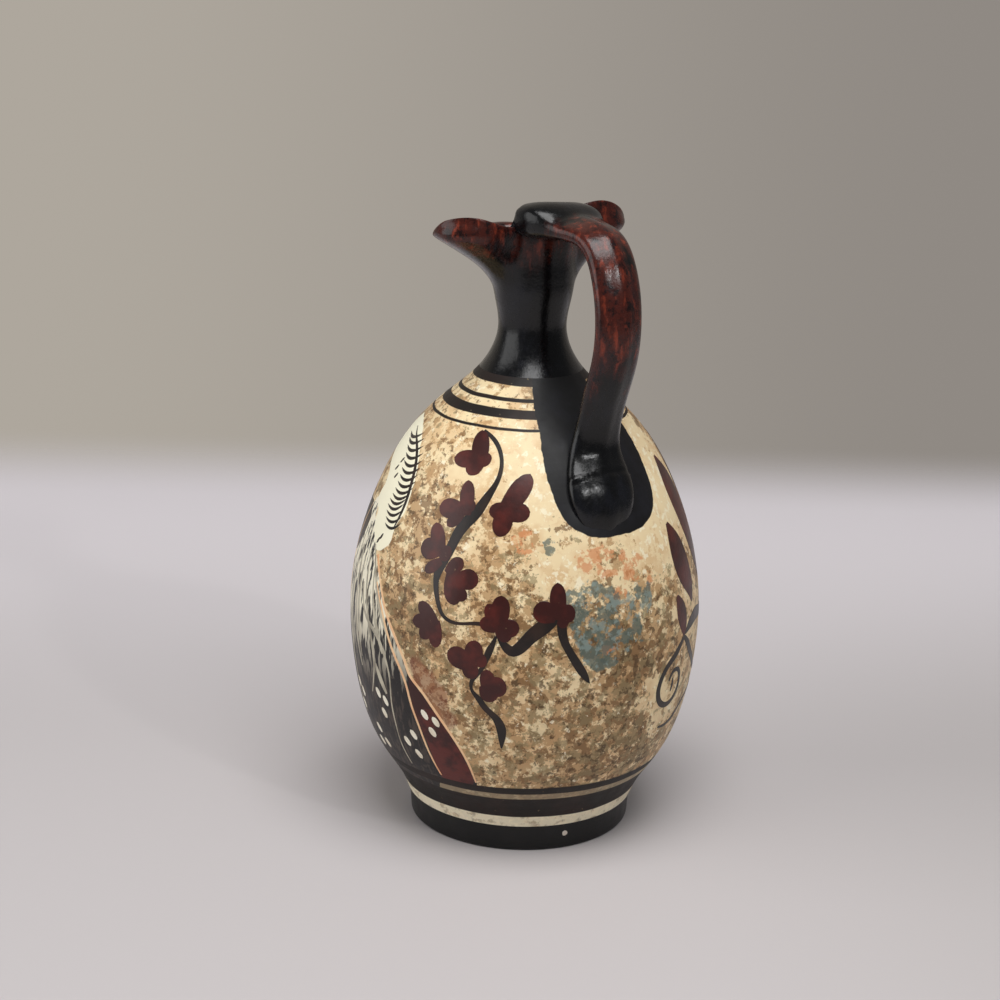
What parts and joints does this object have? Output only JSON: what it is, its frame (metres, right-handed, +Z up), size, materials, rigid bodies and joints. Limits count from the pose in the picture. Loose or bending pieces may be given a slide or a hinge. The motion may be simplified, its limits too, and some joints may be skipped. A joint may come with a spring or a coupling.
{
  "type": "oinochoe jug",
  "caption": "Painted pottery wine jug with an egg-shaped body on a low foot ring, a waisted neck, a trefoil pouring mouth and a strap handle to the shoulder.",
  "frame": {"origin": "on the vessel axis at the underside of the foot ring", "axes": "+Z up along the vessel axis, +X towards the handle, -X towards the pouring lobe"},
  "size_m": [0.0882, 0.0882, 0.1598],
  "materials": {
    "foot_slip_paint": "satin",
    "body_painted": "satin",
    "neck_slip_paint": "semi-gloss",
    "mouth_slip_paint": "gloss",
    "handle_slip_paint": "gloss",
    "luting_slip": "satin"
  },
  "bodies": {
    "root": {"foot_ring": "foot_slip_paint", "foot_luting_slip": "luting_slip", "body_shell": "body_painted", "neck_luting_slip": "luting_slip", "neck": "neck_slip_paint", "mouth_luting_slip": "luting_slip", "trefoil_mouth": "mouth_slip_paint", "handle": "handle_slip_paint", "handle_top_luting_slip": "luting_slip", "handle_root_luting_slip": "luting_slip"}
  },
  "joints": []
}
